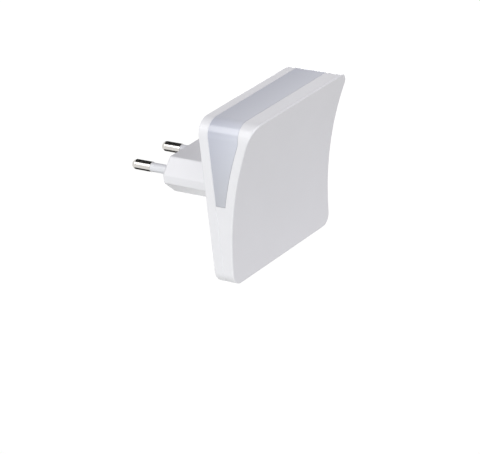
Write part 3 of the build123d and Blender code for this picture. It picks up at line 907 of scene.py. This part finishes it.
class NightLightFinishes(PropertyGroup):
    abs_white: in_hex("ABS white", "Covers, plug body and switch knob", "#ECEBF1")
    # The opal's three colours paint light and shade on the band: darker at the back, paler at the front,
    # darker at the lower ends
    opal_shaded: in_hex("Opal dense", "Translucent band beside the back cover", "#BFC1D0")
    opal_lit: in_hex("Opal thin", "Translucent band beside the front cover", "#D5D7E4")
    opal_end_shade: in_hex("Opal ends", "Multiplies the band's colour at its lower ends", "#FAF9F3")
    nickel: in_hex("Nickel", "Plating of the two pins", "#DAD7D3")
    sleeve_white: in_hex("Sleeve white", "Insulating sleeves of the pins", "#E9E9F0")
    brown: in_hex("Brown", "Insulation of the live lead", "#5A3420")
    blue: in_hex("Blue", "Insulation of the neutral lead", "#2B57A5")
    board_white: in_hex("Board white", "Solder mask of the circuit board", "#E6E8E4")
    laminate: in_hex("Laminate", "Cut edges of the circuit board", "#C9BE8E")
    lamp_white: in_hex("Lamp white", "Moulded frame of each lamp", "#ECE9DC")
    ceramic_black: in_hex("Ceramic black", "Bodies of the chip resistors", "#1C1C1F")
    epoxy_black: in_hex("Epoxy black", "Body of the bridge rectifier", "#18181A")
    epoxy_red: in_hex("Epoxy red", "Body of the film capacitor", "#8E2A1C")
    aluminium: in_hex("Aluminium", "Can of the smoothing capacitor", "#C3C5C9")
    lacquer: in_hex("Lacquer", "Body of the fusible resistor", "#7FA3B4")
    band_1: in_hex("First ring", "First ring of the fusible resistor", "#7A4A24")
    band_2: in_hex("Second ring", "Second ring of the fusible resistor", "#1D1A19")
    band_3: in_hex("Third ring", "Third ring of the fusible resistor", "#1D1A19")
    band_4: in_hex("Tolerance ring", "Last ring of the fusible resistor", "#B99A4A")
    can_sleeve: in_hex("Can sleeve", "Sleeve of the round capacitor", "#1E2126")
    can_stripe: in_hex("Can stripe", "Stripe down the sleeve", "#B9BDC4")
    tinned: in_hex("Tinned steel", "Case of the slide switch", "#B4B5B6")
    contact: in_hex("Contact brass", "Contacts of the slide switch", "#C9B277")
    zinc: in_hex("Zinc", "Plating of the screws", "#A9ABAD")
    solder: in_hex("Solder", "Soldered joints", "#CDCDC9")
    phosphor: in_hex("Phosphor", "Gel in the lamps' windows", "#F1DC97")


class NightLightSizes(PropertyGroup):
    housing_head: in_mm("Housing screw head", "Radius of the housing screws' heads", 2.6)
    housing_head_height: in_mm("Housing screw height", "Height of the housing screws' heads", 1.7)
    housing_shank: in_mm("Housing screw shank", "Radius over the housing screws' thread", 1.3)
    board_head: in_mm("Board screw head", "Radius of the board screws' heads", 1.9)
    board_head_height: in_mm("Board screw height", "Height of the board screws' heads", 1.1)
    board_shank: in_mm("Board screw shank", "Radius over the board screws' thread", 0.9)
    lamp_width: in_mm("Lamp width", "Width of a lamp", 3.5)
    lamp_height: in_mm("Lamp height", "Height of a lamp", 2.8)
    lamp_rim: in_mm("Lamp rim", "Frame round a lamp's window", 0.5)
    lamp_pitch: in_mm("Lamp pitch", "Step of the lamps in the upper row", 8.0)
    chip_pitch: in_mm("Chip pitch", "Step of the chip resistors", 5.0)
    chip_body: in_mm("Chip body", "Bare length of a chip resistor between its caps", 2.2)
    rectifier_body: in_mm("Rectifier body", "Width of the rectifier between its legs", 4.94)
    solder_radius: in_mm("Solder radius", "Foot of a soldered joint", 0.95)
    solder_height: in_mm("Solder height", "Height of a soldered joint", 1.2)
    can_sleeve: in_mm("Can sleeve", "Thickness of the can's shrunk sleeve", 0.12)
    can_lip: in_mm("Can lip", "How far the sleeve folds over the can's end", 0.7)
    can_groove: in_mm("Can groove", "Rolled groove from the can's foot", 1.6)
    vent_width: in_mm("Vent width", "Width of the scored cross on the can's end", 0.22)
    resistor_radius: in_mm("Resistor radius", "Radius of the fusible resistor's end bells", 1.5)
    resistor_length: in_mm("Resistor length", "Length of the fusible resistor's body", 9.0)
    resistor_leg: in_mm("Resistor leg", "Radius of the fusible resistor's legs", 0.3)
    resistor_bend: in_mm("Leg bend", "Radius of the bend in each leg", 0.7)
    film_leg_spacing: in_mm("Film leg spacing", "Between the film capacitor's legs", 7.5)
    can_leg_spacing: in_mm("Can leg spacing", "Between the round capacitor's legs", 2.5)
    terminal_pitch: in_mm("Terminal pitch", "Step of the switch terminals", 3.0)
    tail_solder: in_mm("Tail solder", "Thickness of the solder round a pin's tail", 0.15)
    track_width: in_mm("Track width", "Width of a track on the board", 0.8)
    track_height: in_mm("Track height", "Copper and solder mask above the board", 0.08)


class NightLightStage(PropertyGroup):
    camera_place: FloatVectorProperty(
        name="Camera place",
        description="Where the camera stands",
        subtype="TRANSLATION",
        size=3,
        default=(-0.7289, -0.5995, 0.3860),
    )
    camera_azimuth: in_degrees("Azimuth", "Turn of the camera round the light", -51.53)
    camera_elevation: in_degrees("Elevation", "Camera's angle above the pins", 23.73)
    camera_roll: in_degrees("Roll", "Tilt of the camera", -6.57)
    camera_lens: FloatProperty(
        name="Lens", description="Focal length", subtype="DISTANCE_CAMERA", default=203.7
    )
    floor_drop: in_mm("Floor drop", "Floor below the light", 150)
    floor_size: in_mm("Floor size", "Side of the floor", 12000)
    floor_grey: strength("Floor grey", "Light that the floor sends back", 0.25)
    floor_glow: strength("Floor glow", "White that is added to the floor where it is seen", 0.8)
    card_black: in_hex("Card black", "Cards that the pins mirror", "#060606")
    room_level: strength("Room level", "Light from all round", 0.49)
    key_power: in_watts("Key power", "Tall soft box behind on the left", 0.45)
    side_power: in_watts("Side power", "Soft lamp on the left", 4.8)
    side_colour: in_hex("Side colour", "Colour of the soft lamp on the left", "#FCFFF9")
    front_power: in_watts("Front power", "Soft lamp ahead", 3.4)
    fill_power: in_watts("Fill power", "Soft lamp above the camera", 1.8)
    back_power: in_watts("Back power", "Soft lamp behind on the right", 3.2)


# Operators


class NIGHTLIGHT_OT_shells(Operator):
    """Give the covers, the plug body and the knob their moulded finish"""

    bl_idname = "nightlight.shells"
    bl_label = "Finish shells"

    def execute(self, context):
        look = context.scene.night_light_finishes
        white = moulded_abs("Moulded ABS white", look.abs_white)
        for node in ("front_cover", "back_cover", "plug_housing", "switch_knob"):
            set_finish(node, white)
        opal = opal_polycarbonate("Opal polycarbonate", look.opal_shaded, look.opal_lit, look.opal_end_shade)
        set_finish("diffuser", opal)
        return {"FINISHED"}


class NIGHTLIGHT_OT_pins(Operator):
    """Give the pins their plating and the sleeves their plastic"""

    bl_idname = "nightlight.pins"
    bl_label = "Finish pins"

    def execute(self, context):
        look = context.scene.night_light_finishes
        plating = plated_brass("Nickel-plated brass", look.nickel)
        sleeve = smooth_plastic("Polyamide sleeve", look.sleeve_white, roughness=0.35)
        for side in ("live", "neutral"):
            set_finish(f"{side}_pin", plating)
            set_finish(f"{side}_pin_sleeve", sleeve)
        return {"FINISHED"}


class NIGHTLIGHT_OT_inside(Operator):
    """Finish the board, what is soldered to it, the leads and the switch"""

    bl_idname = "nightlight.inside"
    bl_label = "Finish inner parts"

    def execute(self, context):
        look = context.scene.night_light_finishes
        size = context.scene.night_light_sizes
        pitch = size.chip_pitch
        chip = size.chip_body / 2
        rectifier = size.rectifier_body / 2
        black = look.ceramic_black
        tin = look.tinned
        finishes = {
            "live_lead": smooth_plastic("PVC brown", look.brown, roughness=0.4),
            "neutral_lead": smooth_plastic("PVC blue", look.blue, roughness=0.4),
            "circuit_board": solder_mask("Solder mask white", look.board_white, look.laminate),
            "leds": smooth_plastic("Polyphthalamide", look.lamp_white, roughness=0.4),
            "chip_resistors": capped("Alumina chips", black, tin, chip, roughness=0.5, pitch=pitch),
            "bleeder_resistor": capped("Alumina chip", black, tin, chip, roughness=0.5),
            "bridge_rectifier": capped("Moulded epoxy", look.epoxy_black, tin, rectifier, roughness=0.6),
            "film_capacitor": smooth_plastic("Dipped epoxy", look.epoxy_red, roughness=0.25),
            "switch_case": sheet_metal("Tinned steel", tin, roughness=0.3),
            "contact_bridge": sheet_metal("Spring brass", look.contact, roughness=0.25),
            "switch_terminals": sheet_metal("Terminal brass", look.contact, roughness=0.25),
        }
        for node, material in finishes.items():
            set_finish(node, material)
        return {"FINISHED"}


class NIGHTLIGHT_OT_screws(Operator):
    """Model the screws of the housing and of the board"""

    bl_idname = "nightlight.screws"
    bl_label = "Model screws"

    def execute(self, context):
        size = context.scene.night_light_sizes
        steel = zinc_plate("Zinc-plated steel", context.scene.night_light_finishes.zinc)
        node = "housing_screws"
        pair = screw_pair(node, size.housing_head, size.housing_head_height, size.housing_shank)
        mount("housing_screw", pair, steel, [node])
        node = "board_screws"
        pair = screw_pair(node, size.board_head, size.board_head_height, size.board_shank, "Z")
        mount("board_screw", pair, steel, [node])
        return {"FINISHED"}


class NIGHTLIGHT_OT_lamps(Operator):
    """Fill the lamps' windows with gel"""

    bl_idname = "nightlight.lamps"
    bl_label = "Model lamp gel"

    def execute(self, context):
        size = context.scene.night_light_sizes
        low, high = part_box("leds")
        thickness = (high.y - low.y) * GEL_THICKNESS
        rim = 2 * size.lamp_rim
        piece = gel(size.lamp_width - rim, size.lamp_height - rim, thickness)
        side = high.x - size.lamp_width / 2
        front = low.y + thickness * GEL_BACK
        places = [(x, front, low.z + size.lamp_height / 2) for x in (-side, side)]
        top = high.z - size.lamp_height / 2
        middle_one = (UPPER_LAMPS - 1) / 2
        places += [(size.lamp_pitch * (i - middle_one), front, top) for i in range(UPPER_LAMPS)]
        material = phosphor_gel("Phosphor gel", context.scene.night_light_finishes.phosphor)
        mount("lamp_gel", copies(piece, places), material)
        return {"FINISHED"}


class NIGHTLIGHT_OT_joints(Operator):
    """Solder the leads, the capacitors and the fusible resistor to the board"""

    bl_idname = "nightlight.joints"
    bl_label = "Model soldered joints"

    def execute(self, context):
        size = context.scene.night_light_sizes
        tin = solder_tin("Solder", context.scene.night_light_finishes.solder)
        front, back = (corner.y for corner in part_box("circuit_board"))
        legs = [(middle(node), 0) for node in ("live_lead", "neutral_lead")]
        legs += [(middle("film_capacitor"), side * size.film_leg_spacing / 2) for side in SIDES]
        legs += [(middle("smoothing_capacitor"), side * size.can_leg_spacing / 2) for side in SIDES]
        front_places = [(place.x + shift, front, place.z) for place, shift in legs]
        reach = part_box("fusible_resistor")[1].x - size.resistor_leg
        back_places = [(side * reach, back, middle("fusible_resistor").z) for side in SIDES]
        rows = (("front_joint", front_places, ""), ("back_joint", back_places, "Z"))
        for name, places, half_turn in rows:
            piece = joint(size.solder_radius, size.solder_height, size.resistor_leg)
            mount(name, copies(piece, places, half_turn), tin)
        return {"FINISHED"}


class NIGHTLIGHT_OT_wiring(Operator):
    """Solder the leads to the pins' tails and the switch terminals to the board"""

    bl_idname = "nightlight.wiring"
    bl_label = "Model wiring joints"

    def execute(self, context):
        size = context.scene.night_light_sizes
        tin = solder_tin("Solder on wires", context.scene.night_light_finishes.solder)
        solder = size.tail_solder
        low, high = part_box("live_lead")
        lead_radius = (high.x - low.x) / 2
        lead_height = (low.z + high.z) / 2
        # The lead rests on the pin's tail, so its lowest point is at the tail's radius
        tail_radius = low.z
        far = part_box("live_pin")[0].y + 2 * solder
        piece = tail_joint(tail_radius + solder, lead_radius + solder, lead_height, high.y - solder, far)
        places = [(middle(node).x, 0, 0) for node in ("live_pin", "neutral_pin")]
        mount("tail_joint", copies(piece, places), tin)

        low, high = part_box("switch_terminals")
        radius = size.solder_radius * TERMINAL_MOUND
        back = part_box("circuit_board")[1].y
        top = high.z - radius * MOUND_STRETCH
        places = [(size.terminal_pitch * step, back, top) for step in (-1, 0, 1)]
        piece = mound(radius, high.y - low.y + solder)
        mount("terminal_joint", copies(piece, places), tin)
        return {"FINISHED"}


class NIGHTLIGHT_OT_capacitor(Operator):
    """Model the round capacitor and its sleeve"""

    bl_idname = "nightlight.capacitor"
    bl_label = "Model round capacitor"

    def execute(self, context):
        size = context.scene.night_light_sizes
        look = context.scene.night_light_finishes
        low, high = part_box("smoothing_capacitor")
        radius = (high.x - low.x) / 2
        length = high.y - low.y
        wall = size.can_sleeve
        centre = (low + high) / 2
        foot = (centre.x, low.y, centre.z)
        body = can(radius - wall, length - wall, size.can_groove, size.vent_width)
        metal = sheet_metal("Drawn aluminium", look.aluminium, roughness=0.3)
        mount("round_capacitor", copies(body, [foot]), metal, ["smoothing_capacitor"])
        skin = can_sleeve(radius, length, size.can_groove, wall, size.can_lip)
        film = striped_sleeve("Shrunk PVC sleeve", look.can_sleeve, look.can_stripe, foot)
        mount("capacitor_sleeve", copies(skin, [foot]), film)
        return {"FINISHED"}


class NIGHTLIGHT_OT_resistor(Operator):
    """Model the fusible resistor with its bent legs"""

    bl_idname = "nightlight.resistor"
    bl_label = "Model fusible resistor"

    def execute(self, context):
        size = context.scene.night_light_sizes
        look = context.scene.night_light_finishes
        low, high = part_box("fusible_resistor")
        axis = Vector((0, low.y + size.resistor_radius, (low.z + high.z) / 2))
        lacquer = banded_lacquer("Lacquered ceramic", look)
        body = barrel(size.resistor_radius, size.resistor_length)
        mount("fusible_body", copies(body, [axis]), lacquer, ["fusible_resistor"])
        inside = size.resistor_length / 2 - size.resistor_leg
        reach = high.x - size.resistor_leg
        wire = sheet_metal("Tinned wire", look.tinned, roughness=0.2)
        legs = []
        for half_turn in ("", "Y"):
            leg = bent_leg(inside, reach, size.resistor_leg, size.resistor_bend, high.y - axis.y)
            legs += copies(leg, [axis], half_turn)
        mount("fusible_leg", legs, wire)
        return {"FINISHED"}


class NIGHTLIGHT_OT_tracks(Operator):
    """Lay the tracks on the board's front"""

    bl_idname = "nightlight.tracks"
    bl_label = "Model board tracks"

    def execute(self, context):
        size = context.scene.night_light_sizes
        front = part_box("circuit_board")[0].y
        laid = []
        for route in TRACKS:
            points = [Vector((x * MM, front, z * MM)) for x, z in route]
            laid.append(track(points, size.track_width, size.track_height))
        look = context.scene.night_light_finishes
        mask = solder_mask("Solder mask over copper", shade(look.board_white, 0.93), look.laminate)
        mount("board_tracks", [joined(laid)], mask)
        return {"FINISHED"}


class NIGHTLIGHT_OT_stage(Operator):
    """Set up the floor, the soft lamps and the camera"""

    bl_idname = "nightlight.stage"
    bl_label = "Set up stage"

    def execute(self, context):
        stage = context.scene.night_light_stage
        context.scene.view_settings.view_transform = "Standard"
        self.make_world(context, stage)
        self.make_floor(stage)
        for name, *lamp in LAMPS:
            self.make_lamp(f"{name}_lamp", *lamp, getattr(stage, f"{name}_power"))
        bpy.data.objects["side_lamp"].data.color = stage.side_colour
        self.make_cards(stage)
        self.make_camera(context, stage)
        return {"FINISHED"}

    def make_world(self, context, stage):
        """Even light from all round, in front of white."""
        world = bpy.data.worlds.new("Studio")
        context.scene.world = world
        world.use_nodes = True
        tree = world.node_tree
        tree.nodes.clear()
        room = add(tree, "ShaderNodeBackground", {"Color": rgba((1, 1, 1)), "Strength": stage.room_level})
        white = add(tree, "ShaderNodeBackground", {"Color": rgba((1, 1, 1)), "Strength": 1.0})
        both = {0: seen_or_mirrored(tree), 1: room.outputs[0], 2: white.outputs[0]}
        mix = add(tree, "ShaderNodeMixShader", both)
        add(tree, "ShaderNodeOutputWorld", {"Surface": mix.outputs[0]})

    def make_floor(self, stage):
        """Large white floor that keeps the light's shadow and is clear from below."""
        low = cad_bounds[0].z - stage.floor_drop
        plane = bpy.ops.mesh.primitive_plane_add
        floor = start(plane, "floor", size=stage.floor_size, location=(0, 0, low))
        material, tree = new_material("White paper")
        grey = [stage.floor_grey] * 3
        tones = {0: grain(tree, 0.4), 6: rgba(shade(grey, 0.97)), 7: rgba(grey)}
        share = {0: seen_or_mirrored(tree), 1: stage.floor_glow}
        glow = add(tree, "ShaderNodeMath", share, operation="MULTIPLY")
        top = {
            "Base Color": add(tree, "ShaderNodeMix", tones, data_type="RGBA").outputs[2],
            "Roughness": 0.9,
            "Emission Color": rgba((1, 1, 1)),
            "Emission Strength": glow.outputs[0],
        }
        underside = add(tree, "ShaderNodeNewGeometry").outputs["Backfacing"]
        sides = {
            0: underside,
            1: add(tree, "ShaderNodeBsdfPrincipled", top).outputs["BSDF"],
            2: add(tree, "ShaderNodeBsdfTransparent").outputs["BSDF"],
        }
        mix = add(tree, "ShaderNodeMixShader", sides)
        add(tree, "ShaderNodeOutputMaterial", {"Surface": mix.outputs[0]})
        floor.data.materials.append(material)

    def make_lamp(self, name, direction, distance, size, long_side, power):
        """Soft box that looks at the middle of the housing from a distance in metres."""
        place = HOUSING_MIDDLE + Vector(direction).normalized() * distance
        turn = turned_to(direction, long_side)
        bpy.ops.object.select_all(action="DESELECT")
        bpy.ops.object.light_add(type="AREA", location=place, rotation=turn)
        lamp = bpy.context.object
        lamp.name = name
        lamp.data.shape = "RECTANGLE"
        lamp.data.size, lamp.data.size_y = size
        lamp.data.energy = power

    def make_cards(self, stage):
        """Curved black cards that only show as the dark bands along the pins."""
        cards = start(
            bpy.ops.mesh.primitive_circle_add,
            "flag",
            vertices=CARD_SIDES,
            radius=CARD_RADIUS,
            location=(0, CARD_START, 0),
            rotation=(pi / 2, 0, 0),
        )
        edit(cards)
        extrude(0, CARD_WIDTH, 0)
        select(cards, lambda place: not on_card(atan2(place.z, place.x)))
        bpy.ops.mesh.delete(type="VERT")
        bpy.ops.object.mode_set(mode="OBJECT")
        card, _ = new_material("Black card")
        black = {"Base Color": rgba(stage.card_black), "Roughness": 0.9}
        cards.data.materials.append(finished(card, black))
        cards.visible_camera = False
        cards.visible_diffuse = False
        cards.visible_shadow = False

    def make_camera(self, context, stage):
        """Camera that looks from azimuth and elevation, tilted by roll."""
        azimuth = stage.camera_azimuth
        elevation = stage.camera_elevation
        back = Vector((sin(azimuth) * cos(elevation), -cos(azimuth) * cos(elevation), sin(elevation)))
        level = Vector((cos(azimuth), sin(azimuth), 0))
        upright = back.cross(level)
        right = cos(stage.camera_roll) * level + sin(stage.camera_roll) * upright
        up = cos(stage.camera_roll) * upright - sin(stage.camera_roll) * level
        turn = Matrix((right, up, back)).transposed()
        bpy.ops.object.camera_add(location=stage.camera_place, rotation=turn.to_euler())
        camera = bpy.context.object
        camera.data.sensor_width = 36
        camera.data.lens = stage.camera_lens
        context.scene.camera = camera


class NIGHTLIGHT_PT_panel(Panel):
    """Steps that finish the night light"""

    bl_idname = "NIGHTLIGHT_PT_panel"
    bl_label = "Night light"
    bl_space_type = "VIEW_3D"
    bl_region_type = "UI"
    bl_category = "Night light"

    def draw(self, context):
        scene = context.scene
        for operator in OPERATORS:
            self.layout.operator(operator.bl_idname)
        for group in (scene.night_light_finishes, scene.night_light_sizes, scene.night_light_stage):
            box = self.layout.box()
            for name in type(group).__annotations__:
                box.prop(group, name)


OPERATORS = (
    NIGHTLIGHT_OT_shells,
    NIGHTLIGHT_OT_pins,
    NIGHTLIGHT_OT_inside,
    NIGHTLIGHT_OT_screws,
    NIGHTLIGHT_OT_lamps,
    NIGHTLIGHT_OT_joints,
    NIGHTLIGHT_OT_wiring,
    NIGHTLIGHT_OT_capacitor,
    NIGHTLIGHT_OT_resistor,
    NIGHTLIGHT_OT_tracks,
    NIGHTLIGHT_OT_stage,
)
CLASSES = (NightLightFinishes, NightLightSizes, NightLightStage, *OPERATORS, NIGHTLIGHT_PT_panel)


def register():
    for cls in CLASSES:
        bpy.utils.register_class(cls)
    bpy.types.Scene.night_light_finishes = PointerProperty(type=NightLightFinishes)
    bpy.types.Scene.night_light_sizes = PointerProperty(type=NightLightSizes)
    bpy.types.Scene.night_light_stage = PointerProperty(type=NightLightStage)


def unregister():
    del bpy.types.Scene.night_light_stage
    del bpy.types.Scene.night_light_sizes
    del bpy.types.Scene.night_light_finishes
    for cls in reversed(CLASSES):
        bpy.utils.unregister_class(cls)


def main():
    register()
    bpy.ops.nightlight.shells()
    bpy.ops.nightlight.pins()
    bpy.ops.nightlight.inside()
    bpy.ops.nightlight.screws()
    bpy.ops.nightlight.lamps()
    bpy.ops.nightlight.joints()
    bpy.ops.nightlight.wiring()
    bpy.ops.nightlight.capacitor()
    bpy.ops.nightlight.resistor()
    bpy.ops.nightlight.tracks()
    bpy.ops.nightlight.stage()


if __name__ == "__main__":
    main()
